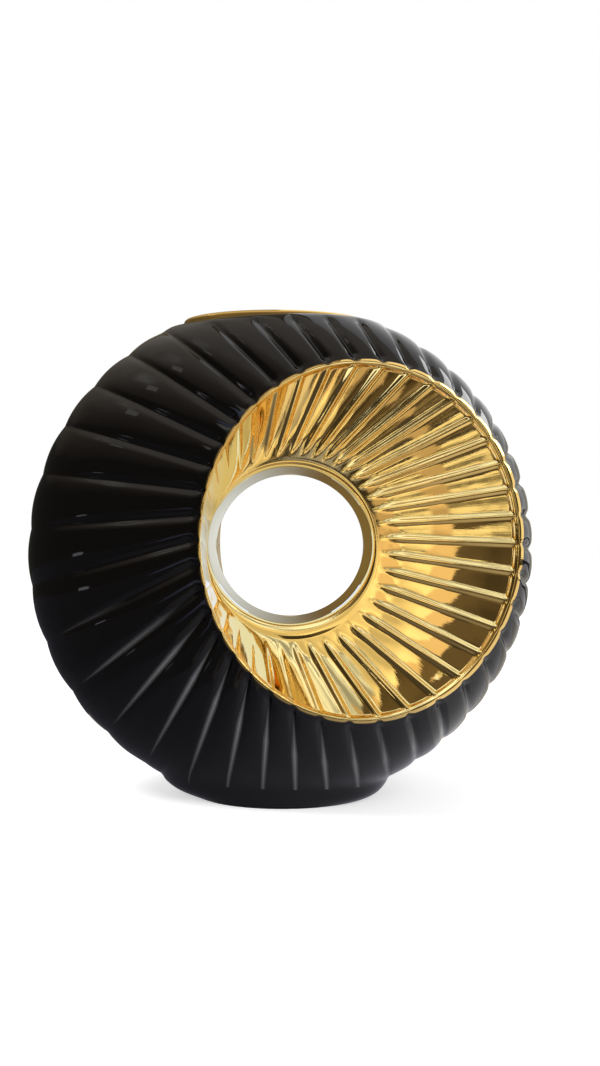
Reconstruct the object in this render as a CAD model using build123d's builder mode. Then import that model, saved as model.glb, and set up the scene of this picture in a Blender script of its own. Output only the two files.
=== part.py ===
from build123d import *
import math
import os

# A hollow ceramic ring that stands upright, black outside, with a gold fluted funnel on each side.
# Millimetres. +X to the right, +Y to the back, +Z up, origin under the middle of the foot.

# The ring
outer_radius = 125.0
half_depth = 50.0
wall = 5.0
flutes = 39
groove_depth = 1.6
outer_bulge_share = 0.085
dome_angles = (18.0, 38.0, 56.0, 74.0, 90.0)

# The funnel's rim, an oval that stands off to the right of the ring's middle
rim_width = 144.4
rim_height = 161.2
rim_side_land = 13.9
rim_rise = 5.8
bead_width = 2.4
bead_thickness = 1.5
fan_shift = 6.4
fan_rise = 2.0

# How far the flutes lead or lag, in degrees: a constant, then a sine and a cosine for each harmonic
rim_lead = (-4.3, 0.2, 0.6, 0.6, 1.4)
outer_lead = (1.3, -13.4, -1.2, 4.5, -0.5, -1.2, 0.9)
collar_lead = (-0.9, -4.2, 6.1, 2.3, 1.7)

# The hole and the smooth collar where the flutes end, both shifted to the left of the rim's middle
throat_width = 78.0
throat_height = 75.0
throat_shift = 31.3
throat_rise = 4.0
throat_length = 44.0
collar_width = 81.5
collar_height = 86.0
collar_shift = 30.0
collar_rise = 2.4
funnel_bow = 1.25
funnel_backing = 4.0
back_step_shares = (0.3, 0.62, 1.0)
socket_land = 0.7
socket_slip = 0.1

# The gold ridges, one at each flute, and the hollow channels between them
ridge_height = 1.0
ridge_width = 4.8
ridge_pitch_share = 0.6
ridge_crown_share = 0.35
crest_pull_share = 1 / 3
channel_hollow = 0.5
neck_room_share = 0.4
funnel_step_shares = (0.0, 0.09, 0.3, 0.62, 0.9, 1.0)
ridge_step_shares = (0.0, 1.0, 1.0, 1.0, 1.0, 0.0)

# The mouth on top
mouth_cut = 7.7
lip_height = 4.0
mouth_width = 82.0
mouth_depth = 34.0
lip_wall = 5.0
lip_round = 1.5
spigot_wall = 3.0
spigot_slip = 0.1

# The foot and the plate that closes it
foot_cut = 4.0
foot_height = 10.0
foot_width = 114.0
foot_depth = 60.0
foot_base_width = 87.0
foot_base_depth = 53.0
foot_base_shift = 4.0
foot_belly_share = 0.45
foot_belly_reach_share = 0.76
foot_wall = 8.0
foot_ledge = 2.5
plate_thickness = 6.0
plate_slip = 0.1

# Lines that follow from the sizes above
shell_depth = half_depth - bead_thickness
ring_height = outer_radius - foot_cut
lip_top = ring_height + outer_radius - mouth_cut
shoulder_height = lip_top - lip_height
rim_centre = (outer_radius - rim_side_land - rim_width / 2, ring_height + rim_rise)
fan_centre = (rim_centre[0] - fan_shift, rim_centre[1] + fan_rise)
throat_centre = (rim_centre[0] - throat_shift, ring_height + throat_rise)
collar_centre = (rim_centre[0] - collar_shift, ring_height + collar_rise)
collar_depth = throat_length / 2 + funnel_backing
flute_step = 360 / flutes
flute_angles = [flute_step * index for index in range(flutes)]


def lead(angle, terms):
    """How far a flute's end runs ahead of an even spacing, in degrees."""
    turn = math.radians(angle)
    total = terms[0]
    for harmonic, (sine, cosine) in enumerate(zip(terms[1::2], terms[2::2]), start=1):
        total += sine * math.sin(harmonic * turn) + cosine * math.cos(harmonic * turn)
    return total


def between(start, end, share):
    """The point at a share of the way from start to end."""
    return tuple(a + (b - a) * share for a, b in zip(start, end))


def rim_point(angle, inset):
    """Where a flute's ray from the fan's middle meets the rim's oval, drawn in by inset."""
    turned = math.radians(angle + lead(angle, rim_lead))
    half_width = rim_width / 2 - inset
    half_height = rim_height / 2 - inset
    across = math.cos(turned) / half_width
    up = math.sin(turned) / half_height
    start_across = (fan_centre[0] - rim_centre[0]) / half_width
    start_up = (fan_centre[1] - rim_centre[1]) / half_height
    square = across**2 + up**2
    middle = across * start_across + up * start_up
    rest = start_across**2 + start_up**2 - 1
    reach = (math.sqrt(middle**2 - square * rest) - middle) / square
    return (
        fan_centre[0] + reach * math.cos(turned),
        fan_centre[1] + reach * math.sin(turned),
    )


def seam_point(angle, inset):
    """A flute's end on the ring's widest circle, drawn in by inset."""
    turned = math.radians(angle + lead(angle, outer_lead))
    radius = outer_radius - inset
    return (radius * math.cos(turned), ring_height + radius * math.sin(turned))


def collar_point(angle, growth):
    """A flute's end at the collar round the hole, moved out by growth."""
    turned = math.radians(angle + lead(angle, collar_lead))
    half_width = collar_width / 2 + growth
    half_height = collar_height / 2 + growth
    return (
        collar_centre[0] + half_width * math.cos(turned),
        collar_centre[1] + half_height * math.sin(turned),
    )


def throat_point(angle):
    """The point of the hole's edge that a flute heads for."""
    turned = math.radians(angle + lead(angle, collar_lead))
    return (
        throat_centre[0] + throat_width / 2 * math.cos(turned),
        throat_centre[1] + throat_height / 2 * math.sin(turned),
    )


def scalloped(depth, points, bulge_share):
    """A closed outline at a depth before the seam, with one arc for each flute, bowed outwards."""
    with BuildSketch(Plane.XZ.offset(depth)) as sketch:
        with BuildLine():
            for start, end in zip(points, points[1:] + points[:1]):
                middle_x = (start[0] + end[0]) / 2 + (end[1] - start[1]) * bulge_share
                middle_z = (start[1] + end[1]) / 2 - (end[0] - start[0]) * bulge_share
                ThreePointArc(start, (middle_x, middle_z), end)
        make_face()
    return sketch.sketch


def square_to(point_at, angle):
    """The width of one flute on an outline at an angle, and the outward direction square to it."""
    before = point_at(angle - flute_step / 2)
    after = point_at(angle + flute_step / 2)
    pitch = math.dist(before, after)
    return pitch, ((after[1] - before[1]) / pitch, (before[0] - after[0]) / pitch)


def moved(point, direction, distance):
    """A point moved along a direction."""
    return tuple(a + b * distance for a, b in zip(point, direction))


def ridged(depth, point_at, cut_at):
    """A closed outline at a depth before the seam, with a rounded crest at each flute and a channel between.

    point_at gives the crests' line at an angle, and cut_at how far the channels lie outside it there.
    """
    lefts, crowns, rights, middles = [], [], [], []
    for angle in flute_angles:
        pitch, normal = square_to(point_at, angle)
        cut = cut_at(angle, normal, ridge_height)
        foot_angle = flute_step / 2 * min(ridge_pitch_share, ridge_width / pitch)
        crown_angle = foot_angle * ridge_crown_share
        pull = -cut * crest_pull_share
        lefts.append(moved(point_at(angle - foot_angle), normal, cut))
        rights.append(moved(point_at(angle + foot_angle), normal, cut))
        crown_start = moved(point_at(angle - crown_angle), normal, pull)
        crowns.append((crown_start, moved(point_at(angle + crown_angle), normal, pull)))
        middle_angle = angle + flute_step / 2
        normal = square_to(point_at, middle_angle)[1]
        cut = cut_at(middle_angle, normal, ridge_height + channel_hollow)
        middles.append(moved(point_at(middle_angle), normal, cut))
    with BuildSketch(Plane.XZ.offset(depth)) as sketch:
        with BuildLine():
            for left, crown, right, middle, following in zip(lefts, crowns, rights, middles, lefts[1:] + lefts[:1]):
                Bezier(left, *crown, right)
                ThreePointArc(right, middle, following)
        make_face()
    return sketch.sketch


def smooth(depth, points):
    """A closed smooth outline at a depth before the seam, through every third flute's point."""
    with BuildSketch(Plane.XZ.offset(depth)) as sketch:
        with BuildLine():
            Spline(*points[::3], periodic=True)
        make_face()
    return sketch.sketch


def oval(plane, centre, width, height):
    """An ellipse on a plane."""
    with BuildSketch(plane) as sketch:
        with Locations(centre):
            Ellipse(width / 2, height / 2)
    return sketch.sketch


def dome_level(angle):
    """Shares of the way from rim to seam, and of the depth, at an angle of the domed front."""
    first = math.radians(dome_angles[0])
    turn = math.radians(angle)
    reach = (math.sin(turn) - math.sin(first)) / (1 - math.sin(first))
    return reach, math.cos(turn) / math.cos(first)


def dome_points(reach, rim_inset, seam_inset):
    """The flutes' points at a share of the way from the rim to the seam."""
    return [between(rim_point(a, rim_inset), seam_point(a, seam_inset), reach) for a in flute_angles]


def funnel_level(share):
    """Depth before the seam at a share of the way down the funnel, from the rim to the collar."""
    return collar_depth + (half_depth - collar_depth) * (1 - share) ** funnel_bow


def funnel_points(share, rim_inset, growth):
    """The flutes' points at a share of the way down the funnel."""
    return [between(rim_point(a, rim_inset), collar_point(a, growth), share) for a in flute_angles]


def funnel_section(share, ridge_share):
    """The funnel's ridged outline at a share of the way down it, with a share of the ridges' height.

    A cut square to the sloping wall moves the outline further the flatter the wall lies. Beside the neck in the
    shell's hole, the channels leave a share of the neck's clay.
    """
    depth = funnel_level(share)
    slope = (half_depth - collar_depth) * funnel_bow * (1 - share) ** (funnel_bow - 1)

    def point_at(angle):
        return between(rim_point(angle, bead_width), collar_point(angle, 0), share)

    def along(normal, start, end):
        return abs((end[0] - start[0]) * normal[0] + (end[1] - start[1]) * normal[1])

    def cut_at(angle, normal, height):
        if ridge_share == 0:
            return 0
        run = along(normal, rim_point(angle, bead_width), collar_point(angle, 0))
        cut = height * ridge_share * math.hypot(run, slope) / slope
        if depth < shell_depth - 2 * wall:
            return cut
        room = along(normal, point_at(angle), rim_point(angle, socket_land + socket_slip))
        return min(cut, room * neck_room_share)

    return ridged(depth, point_at, cut_at)


# Outlines of the front half, from the rim back to the seam
outer_sections = []
cavity_sections = []
for dome_angle in dome_angles:
    reach_share, depth_share = dome_level(dome_angle)
    outer_points = dome_points(reach_share, 0, groove_depth)
    outer_sections.append(scalloped(shell_depth * depth_share, outer_points, outer_bulge_share))
    cavity_points = dome_points(reach_share, socket_land / 2, groove_depth + wall)
    cavity_sections.append(smooth((shell_depth - wall) * depth_share, cavity_points))

with BuildPart() as chamber:
    loft(cavity_sections)
    split(bisect_by=Plane.XY.offset(shoulder_height - wall), keep=Keep.BOTTOM)

with BuildPart() as front_shell:
    loft(outer_sections)
    add(chamber.part, mode=Mode.SUBTRACT)
    extrude(
        smooth(shell_depth, dome_points(0, socket_land, 0)),
        amount=-2 * wall,
        mode=Mode.SUBTRACT,
    )
    split(bisect_by=Plane.XY.offset(shoulder_height), keep=Keep.BOTTOM)
    split(bisect_by=Plane.XY.offset(foot_height), keep=Keep.TOP)
    extrude(
        oval(Plane.XY.offset(shoulder_height), (0, 0), mouth_width, mouth_depth),
        amount=-wall,
        mode=Mode.SUBTRACT,
    )
front_shell.part.label = "front_shell"

with BuildPart() as back_shell:
    mirror(front_shell.part, about=Plane.XZ)
back_shell.part.label = "back_shell"

# The hollow of the funnel, with ridges that begin under the rim and end at the collar
hollow_sections = []
for step_share, ridge_share in zip(funnel_step_shares, ridge_step_shares):
    hollow_sections.append(funnel_section(step_share, ridge_share))

# The smooth collar, from the ridges' ends down to the hole's edge
edge_section = ridged(throat_length / 2, throat_point, lambda angle, normal, height: 0)
collar_sections = [hollow_sections[-1], edge_section]

# The funnel's hidden side, which grows by the wall once it has passed the shell's front
socket_points = dome_points(0, socket_land + socket_slip, 0)
back_sections = [smooth(shell_depth - wall - socket_slip, socket_points)]
for step_share in back_step_shares:
    back_depth = funnel_level(step_share) - funnel_backing
    back_points = funnel_points(step_share, socket_land - funnel_backing, funnel_backing)
    back_sections.append(smooth(back_depth, back_points))

with BuildPart() as front_crater:
    loft(back_sections)
    extrude(smooth(shell_depth, socket_points), amount=-wall - socket_slip)
    extrude(scalloped(shell_depth, dome_points(0, 0, 0), outer_bulge_share), amount=bead_thickness)
    loft(hollow_sections, mode=Mode.SUBTRACT)
    loft(collar_sections, mode=Mode.SUBTRACT)
front_crater.part.label = "front_crater"

with BuildPart() as back_crater:
    mirror(front_crater.part, about=Plane.XZ)
back_crater.part.label = "back_crater"

with BuildPart() as throat_ring:
    extrude(
        oval(Plane.XZ, throat_centre, throat_width + 2 * wall, throat_height + 2 * wall),
        amount=throat_length / 2,
        both=True,
    )
    extrude(
        oval(Plane.XZ, throat_centre, throat_width, throat_height),
        amount=throat_length / 2,
        both=True,
        mode=Mode.SUBTRACT,
    )
throat_ring.part.label = "throat_ring"

with BuildPart() as mouth_collar:
    extrude(
        oval(
            Plane.XY.offset(shoulder_height),
            (0, 0),
            mouth_width + 2 * lip_wall,
            mouth_depth + 2 * lip_wall,
        ),
        amount=lip_height,
    )
    fillet(mouth_collar.faces().sort_by(Axis.Z)[-1].edges(), radius=lip_round)
    extrude(
        oval(
            Plane.XY.offset(shoulder_height - wall),
            (0, 0),
            mouth_width - 2 * spigot_slip,
            mouth_depth - 2 * spigot_slip,
        ),
        amount=wall,
    )
    extrude(
        oval(
            Plane.XY.offset(shoulder_height - wall),
            (0, 0),
            mouth_width - 2 * spigot_wall,
            mouth_depth - 2 * spigot_wall,
        ),
        amount=wall + lip_height,
        mode=Mode.SUBTRACT,
    )
mouth_collar.part.label = "mouth_collar"

belly_height = foot_height * foot_belly_share
belly_width = foot_base_width + (foot_width - foot_base_width) * foot_belly_reach_share
belly_depth = foot_base_depth + (foot_depth - foot_base_depth) * foot_belly_reach_share
belly_shift = foot_base_shift * (1 - foot_belly_reach_share)
plate_centre = (foot_base_shift, 0)
plate_width = foot_base_width - 2 * foot_wall
plate_depth = foot_base_depth - 2 * foot_wall

with BuildPart() as foot_ring:
    loft(
        [
            oval(Plane.XY, plate_centre, foot_base_width, foot_base_depth),
            oval(Plane.XY.offset(belly_height), (belly_shift, 0), belly_width, belly_depth),
            oval(Plane.XY.offset(foot_height), (0, 0), foot_width, foot_depth),
        ]
    )
    extrude(
        oval(Plane.XY, plate_centre, plate_width, plate_depth),
        amount=plate_thickness,
        mode=Mode.SUBTRACT,
    )
    extrude(
        oval(Plane.XY, plate_centre, plate_width - 2 * foot_ledge, plate_depth - 2 * foot_ledge),
        amount=foot_height,
        mode=Mode.SUBTRACT,
    )
foot_ring.part.label = "foot_ring"

with BuildPart() as base_plate:
    extrude(
        oval(Plane.XY, plate_centre, plate_width - 2 * plate_slip, plate_depth - 2 * plate_slip),
        amount=plate_thickness,
    )
base_plate.part.label = "base_plate"

os.makedirs("parts", exist_ok=True)
export_step(front_shell.part, "parts/front_shell.step")
export_step(back_shell.part, "parts/back_shell.step")
export_step(front_crater.part, "parts/front_crater.step")
export_step(back_crater.part, "parts/back_crater.step")
export_step(throat_ring.part, "parts/throat_ring.step")
export_step(mouth_collar.part, "parts/mouth_collar.step")
export_step(foot_ring.part, "parts/foot_ring.step")
export_step(base_plate.part, "parts/base_plate.step")
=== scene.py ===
"""A ring-shaped ceramic vase that stands upright, black and fluted, with a gold funnel on each side."""

import math

import bmesh
import bpy
import numpy as np
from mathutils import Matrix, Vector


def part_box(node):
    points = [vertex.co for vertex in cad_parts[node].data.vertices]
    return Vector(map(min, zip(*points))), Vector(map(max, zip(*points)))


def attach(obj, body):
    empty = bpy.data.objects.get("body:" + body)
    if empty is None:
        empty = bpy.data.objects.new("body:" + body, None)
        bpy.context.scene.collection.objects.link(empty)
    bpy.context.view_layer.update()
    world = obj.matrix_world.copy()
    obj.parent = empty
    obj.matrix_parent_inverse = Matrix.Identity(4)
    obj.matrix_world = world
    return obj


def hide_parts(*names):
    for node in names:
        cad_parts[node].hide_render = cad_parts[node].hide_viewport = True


bl_info = {
    "name": "Ring Vase",
    "version": (1, 0, 0),
    "blender": (4, 5, 0),
    "location": "View3D > Sidebar > Ring Vase",
    "description": "Builds a fluted ring vase in black glaze and gold lustre on its packed frame",
    "category": "Object",
}

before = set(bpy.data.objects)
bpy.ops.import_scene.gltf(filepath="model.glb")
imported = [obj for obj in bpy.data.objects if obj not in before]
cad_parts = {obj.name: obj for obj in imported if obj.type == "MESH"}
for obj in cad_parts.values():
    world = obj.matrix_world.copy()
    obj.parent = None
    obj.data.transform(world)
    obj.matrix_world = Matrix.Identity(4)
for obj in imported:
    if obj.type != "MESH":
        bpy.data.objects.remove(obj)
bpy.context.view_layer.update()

shell_low, shell_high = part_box("front_shell")
crater_low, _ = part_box("front_crater")
throat_low, throat_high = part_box("throat_ring")
_, lip_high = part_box("mouth_collar")
plate_low, plate_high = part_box("base_plate")

FOOT_TOP = shell_low.z
SHOULDER = shell_high.z
LIP_TOP = lip_high.z
HALF_DEPTH = -crater_low.y
SHELL_DEPTH = -shell_low.y
THROAT_HALF = throat_high.y

# How finely the surfaces are cut: columns to a flute, rows down a surface, columns round an oval
FLUTE_STEPS = 20
DOME_ROWS, TAIL_ROWS, PATH_ROWS = 200, 120, 150
SHELL_ROWS, SHELL_BACK_ROWS = 98, 18
BEAD_ROWS, CONE_ROWS, COLLAR_ROWS, CONE_BACK_ROWS = 11, 84, 9, 8
THROAT_ROWS, THROAT_BACK_STEP, THROAT_COLUMNS = 24, 4, 192
LIP_BEND_ROWS, LIP_COLUMNS = 7, 240
FOOT_ROWS, FOOT_COLUMNS, PLATE_COLUMNS = 18, 1200, 180

# How far the flutes run ahead, in degrees: a constant, then a sine and a cosine for each harmonic
RIM_LEAD = (-4.3, (0.2, 0.6), (0.6, 1.4))
SEAM_LEAD = (1.3, (-13.4, -1.2), (4.5, -0.5), (-1.2, 0.9))
COLLAR_LEAD = (-0.9, (-4.2, 6.1), (2.3, 1.7))

# Parts of a flute's depth that a groove's crease and a rim's notch take, where the arch has the rest
CREASE_SHARE = 0.45
NOTCH_SHARE = 0.55
NOTCH_REACH = 0.0026

# The vase's middle, which cards and lamps face
MIDDLE = (0.0, 0.0, 0.12)

# Level sheets that glow: name, left and right, near and far, height, colour, darkness of the blots
SHEETS = (
    ("table", (-1.4, 1.4), (-1.4, 1.4), 5e-4, (0.065, 0.065, 0.08), 0.0),
    ("tan_sheet", (-0.30, 0.02), (-1.2, -0.42), 7e-4, (0.36, 0.4, 0.6), 0.0),
    ("front_sheet", (-0.08, 0.075), (-0.34, -0.14), 9e-4, (0.33, 0.29, 0.25), 0.8),
    ("dark_sheet", (-0.06, 0.03), (-0.275, -0.19), 1.1e-3, (0.11, 0.09, 0.07), 0.5),
    ("pale_sheet", (0.075, 0.9), (-0.6, 0.5), 7e-4, (0.85, 0.83, 0.84), 0.0),
    ("back_sheet", (-0.14, 0.4), (0.06, 0.6), 9e-4, (0.6, 0.56, 0.5), 0.0),
    ("canopy", (-0.03, 0.13), (-0.2, -0.06), 0.19, (1.25, 1.5, 2.1), 0.7),
)
# Upright screens that glow: name, left and right, bottom and top, depth, colour, darkness of the blots
SCREENS = (
    ("bright_screen", (-0.01, 0.04), (0.09, 0.125), -0.085, (1.35, 1.3, 1.1), 0.5),
    ("tip_screen", (0.04, 0.05), (0.1, 0.152), -0.085, (0.95, 0.8, 0.65), 0.4),
    ("dark_screen", (0.05, 0.105), (0.08, 0.128), -0.085, (0.13, 0.11, 0.09), 0.5),
    ("low_screen", (0.018, 0.06), (0.07, 0.089), -0.065, (0.17, 0.14, 0.1), 0.4),
    ("hole_screen", (-0.026, 0.041), (0.093, 0.13), -0.018, (0.85, 1.1, 1.75), 0.0),
    ("arch_screen", (-0.026, 0.041), (0.13, 0.157), -0.018, (0.7, 0.72, 0.6), 0.6),
)
# Cards that face the vase: name, azimuth, elevation, distance, width, height, colour, darkness of the blots
CARDS = (
    ("warm_card", -13.5, 6.9, 0.39, 0.13, 0.34, (1.1, 1.1, 1.0), 0.8),
    ("copper_card", -22.5, 8, 0.39, 0.014, 0.03, (0.9, 0.36, 0.1), 0.0),
    ("window_left", -62, -6, 1.0, 0.10, 0.09, (1.3, 1.3, 1.4), 0.0),
    ("window_high", -80, 58, 0.9, 0.22, 0.12, (1.4, 1.3, 1.15), 0.0),
    ("window_side", -58, 42, 0.9, 0.10, 0.10, (0.9, 0.85, 0.75), 0.0),
    ("window_right", 100, 38, 1.1, 0.5, 0.7, (6.0, 6.0, 6.0), 0.0),
)
# Glow along one axis: place in metres and colour
NEAR_STOPS = (
    (-0.2, (0.065, 0.065, 0.08)),
    (-0.05, (0.13, 0.13, 0.16)),
    (0.03, (0.33, 0.33, 0.38)),
    (0.1, (0.6, 0.6, 0.65)),
)
TUBE_STOPS = (
    (-0.031, (0.75, 0.85, 0.95)),
    (-0.018, (0.55, 0.62, 0.68)),
    (0.006, (0.3, 0.3, 0.26)),
    (0.02, (0.16, 0.11, 0.05)),
    (0.046, (0.2, 0.14, 0.04)),
)
TENT_STOPS = (
    (0.0, (0.045, 0.042, 0.036)),
    (0.42, (0.045, 0.042, 0.036)),
    (0.66, (0.2, 0.17, 0.14)),
    (0.9, (0.6, 0.55, 0.48)),
)


class RingSettings(bpy.types.PropertyGroup):
    """The hollow ring and its flutes."""

    radius: bpy.props.FloatProperty(
        name="Radius",
        description="From the ring's middle to the crest of a flute",
        default=0.1249,
        unit="LENGTH",
    )
    middle_height: bpy.props.FloatProperty(
        name="Middle height",
        description="Height of the ring's middle above the floor",
        default=0.121,
        unit="LENGTH",
    )
    wall: bpy.props.FloatProperty(
        name="Wall",
        description="Thickness of the fired clay",
        default=0.005,
        unit="LENGTH",
    )
    flutes: bpy.props.IntProperty(
        name="Flutes",
        description="Number of flutes round the ring",
        default=39,
    )
    groove_depth: bpy.props.FloatProperty(
        name="Groove depth",
        description="How deep the black grooves lie below the crests",
        default=0.0019,
        unit="LENGTH",
    )
    groove_width: bpy.props.FloatProperty(
        name="Groove width",
        description="Width of a black groove's crease from edge to edge",
        default=0.0064,
        unit="LENGTH",
    )
    softness: bpy.props.FloatProperty(
        name="Softness",
        description="How far the glaze softens the edges of the flat top and the foot",
        default=0.0045,
        unit="LENGTH",
    )
    dome_start: bpy.props.FloatProperty(
        name="Dome start",
        description="Angle at which the domed front leaves the rim",
        default=math.radians(18),
        subtype="ANGLE",
    )


class FunnelSettings(bpy.types.PropertyGroup):
    """The off-centre gold funnel, its rim and its hole."""

    rim_size: bpy.props.FloatVectorProperty(
        name="Rim size",
        description="Width and height of the funnel's rim",
        default=(0.1444, 0.1612),
        size=2,
        unit="LENGTH",
    )
    rim_centre: bpy.props.FloatVectorProperty(
        name="Rim centre",
        description="Middle of the rim, across and up",
        default=(0.0389, 0.1268),
        size=2,
        unit="LENGTH",
    )
    fan_centre: bpy.props.FloatVectorProperty(
        name="Fan centre",
        description="Point from which the flutes spread",
        default=(0.0325, 0.1288),
        size=2,
        unit="LENGTH",
    )
    rim_scallop: bpy.props.FloatProperty(
        name="Rim scallop",
        description="How far the rim bows out between two flutes",
        default=0.0009,
        unit="LENGTH",
    )
    bead_width: bpy.props.FloatProperty(
        name="Bead width",
        description="Width of the rounded bead along the rim",
        default=0.0024,
        unit="LENGTH",
    )
    collar_size: bpy.props.FloatVectorProperty(
        name="Collar size",
        description="Width and height of the smooth collar where the flutes end",
        default=(0.0815, 0.086),
        size=2,
        unit="LENGTH",
    )
    collar_centre: bpy.props.FloatVectorProperty(
        name="Collar centre",
        description="Middle of the collar, across and up",
        default=(0.0089, 0.1234),
        size=2,
        unit="LENGTH",
    )
    backing: bpy.props.FloatProperty(
        name="Backing",
        description="Thickness of the clay behind the gold",
        default=0.004,
        unit="LENGTH",
    )
    ridge_height: bpy.props.FloatProperty(
        name="Ridge height",
        description="How far the gold ridges stand above the channels",
        default=0.0010,
        unit="LENGTH",
    )
    ridge_width: bpy.props.FloatProperty(
        name="Ridge width",
        description="Width of a gold ridge at its foot",
        default=0.0046,
        unit="LENGTH",
    )
    hollow: bpy.props.FloatProperty(
        name="Hollow",
        description="How far a channel's floor sags between two ridges",
        default=0.00015,
        unit="LENGTH",
    )
    bow: bpy.props.FloatProperty(
        name="Bow",
        description="How strongly the funnel flattens towards the collar, where 1 is straight",
        default=1.25,
    )


class MouthFootSettings(bpy.types.PropertyGroup):
    """The oval mouth on top and the oval foot."""

    bore: bpy.props.FloatVectorProperty(
        name="Bore",
        description="Width and depth of the mouth's opening in the shell",
        default=(0.082, 0.034),
        size=2,
        unit="LENGTH",
    )
    lip_wall: bpy.props.FloatProperty(
        name="Lip wall",
        description="Thickness of the lip's flange",
        default=0.005,
        unit="LENGTH",
    )
    foot_base: bpy.props.FloatVectorProperty(
        name="Foot base",
        description="Width and depth of the flat oval that the vase stands on",
        default=(0.087, 0.053),
        size=2,
        unit="LENGTH",
    )
    foot_shift: bpy.props.FloatProperty(
        name="Foot shift",
        description="How far the flat oval stands to the right of the ring's middle",
        default=0.004,
        unit="LENGTH",
    )
    foot_wall: bpy.props.FloatProperty(
        name="Foot wall",
        description="Width of the ring that the vase stands on",
        default=0.008,
        unit="LENGTH",
    )


class FinishSettings(bpy.types.PropertyGroup):
    """The colours of the glaze, the lustre and the clay, and the grey of the highlight painted along the
    lower grooves.
    """

    black: bpy.props.FloatVectorProperty(
        name="Black glaze",
        description="Colour of the black glaze",
        default=(0.0024, 0.0022, 0.0024),
        size=3,
        subtype="COLOR",
    )
    # Painted highlight: a grey mixed into the black along the lower grooves, standing in for the light that
    # the grooves' walls reflect
    painted_groove_highlight: bpy.props.FloatVectorProperty(
        name="Painted groove highlight",
        description="Grey painted into the black as a highlight along the lower grooves",
        default=(0.21, 0.21, 0.22),
        size=3,
        subtype="COLOR",
    )
    gold: bpy.props.FloatVectorProperty(
        name="Gold lustre",
        description="Colour of the gold lustre where it is thick",
        default=(0.98, 0.69, 0.235),
        size=3,
        subtype="COLOR",
    )
    deep_gold: bpy.props.FloatVectorProperty(
        name="Deep gold",
        description="Colour of the gold lustre where it ran thin",
        default=(0.94, 0.61, 0.175),
        size=3,
        subtype="COLOR",
    )
    clay: bpy.props.FloatVectorProperty(
        name="Bare clay",
        description="Colour of the unglazed clay",
        default=(0.62, 0.58, 0.52),
        size=3,
        subtype="COLOR",
    )


class StageSettings(bpy.types.PropertyGroup):
    """The camera and the floor."""

    camera_place: bpy.props.FloatVectorProperty(
        name="Camera place",
        description="Where the camera stands",
        default=(0.0076, -0.405, 0.12505),
        size=3,
        subtype="TRANSLATION",
        unit="LENGTH",
    )
    lens: bpy.props.FloatProperty(
        name="Lens",
        description="Focal length for a sensor of 36 mm",
        default=27.0,
        unit="CAMERA",
    )
    shift: bpy.props.FloatVectorProperty(
        name="Shift",
        description="Shift of the picture across and up, in parts of its longer side",
        default=(0.0094, 0.0113),
        size=2,
    )
    floor_colour: bpy.props.FloatVectorProperty(
        name="Floor",
        description="Colour of the pale floor",
        default=(0.86, 0.86, 0.86),
        size=3,
        subtype="COLOR",
    )


def smoothstep(low, high, value):
    """0 below low, 1 above high, and 3t^2 - 2t^3 between them."""
    t = np.clip((value - low) / (high - low), 0, 1)
    return t * t * (3 - 2 * t)


def flute_columns(flutes, steps, crowding):
    """Positions round the ring counted in flutes, crowded towards each groove: u - c sin(2 pi u) / (2 pi)."""
    u = np.arange(steps) / steps
    u = u - crowding * np.sin(2 * np.pi * u) / (2 * np.pi)
    return (np.arange(flutes)[:, None] + u).ravel()


def led(turn, constant, *pairs):
    """Flute angles that run ahead of an even spacing by a constant plus harmonics of the turn.

    Each harmonic has a sine and a cosine. The terms are in degrees and the angles in radians.
    """
    degrees = constant + 0 * turn
    for harmonic, (sine, cosine) in enumerate(pairs, start=1):
        degrees = degrees + sine * np.sin(harmonic * turn) + cosine * np.cos(harmonic * turn)
    return turn + np.radians(degrees)


def rim_points(turn, inset, funnel):
    """Where rays from the fan's middle meet the rim's oval, drawn in by inset: a quadratic's larger root."""
    turned = led(turn, *RIM_LEAD)
    half = np.array(funnel.rim_size) / 2
    across = np.cos(turned) / (half[0] - inset)
    up = np.sin(turned) / (half[1] - inset)
    start = np.array(funnel.fan_centre) - np.array(funnel.rim_centre)
    start_across = start[0] / (half[0] - inset)
    start_up = start[1] / (half[1] - inset)
    square = across**2 + up**2
    middle = across * start_across + up * start_up
    rest = start_across**2 + start_up**2 - 1
    reach = (np.sqrt(middle**2 - square * rest) - middle) / square
    x = funnel.fan_centre[0] + reach * np.cos(turned)
    z = funnel.fan_centre[1] + reach * np.sin(turned)
    return np.stack([x, z], axis=-1)


def seam_points(turn, ring):
    """Each column's end on the ring's widest circle, at its own lead angle."""
    turned = led(turn, *SEAM_LEAD)
    x = ring.radius * np.cos(turned)
    z = ring.middle_height + ring.radius * np.sin(turned)
    return np.stack([x, z], axis=-1)


def collar_points(turn, growth, funnel):
    """Each column's end on the collar's oval, moved out by growth."""
    turned = led(turn, *COLLAR_LEAD)
    x = funnel.collar_centre[0] + (funnel.collar_size[0] / 2 + growth) * np.cos(turned)
    z = funnel.collar_centre[1] + (funnel.collar_size[1] / 2 + growth) * np.sin(turned)
    return np.stack([x, z], axis=-1)


def throat_points(turn, growth, ring):
    """Each column's end on the hole's oval edge, moved out by growth."""
    turned = led(turn, *COLLAR_LEAD)
    centre_x = (throat_low.x + throat_high.x) / 2
    centre_z = (throat_low.z + throat_high.z) / 2
    half_x = (throat_high.x - throat_low.x) / 2 - ring.wall + growth
    half_z = (throat_high.z - throat_low.z) / 2 - ring.wall + growth
    return np.stack([centre_x + half_x * np.cos(turned), centre_z + half_z * np.sin(turned)], axis=-1)


def placed(flat, depth):
    """Points of the XZ plane set at a depth in front of the seam."""
    return np.stack([flat[..., 0], -depth, flat[..., 1]], axis=-1)


def lengths_down(grid):
    """Distance along each column from its first row."""
    steps = np.linalg.norm(np.diff(grid, axis=0), axis=-1)
    return np.concatenate([np.zeros((1, grid.shape[1])), np.cumsum(steps + 1e-9, axis=0)])


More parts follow.
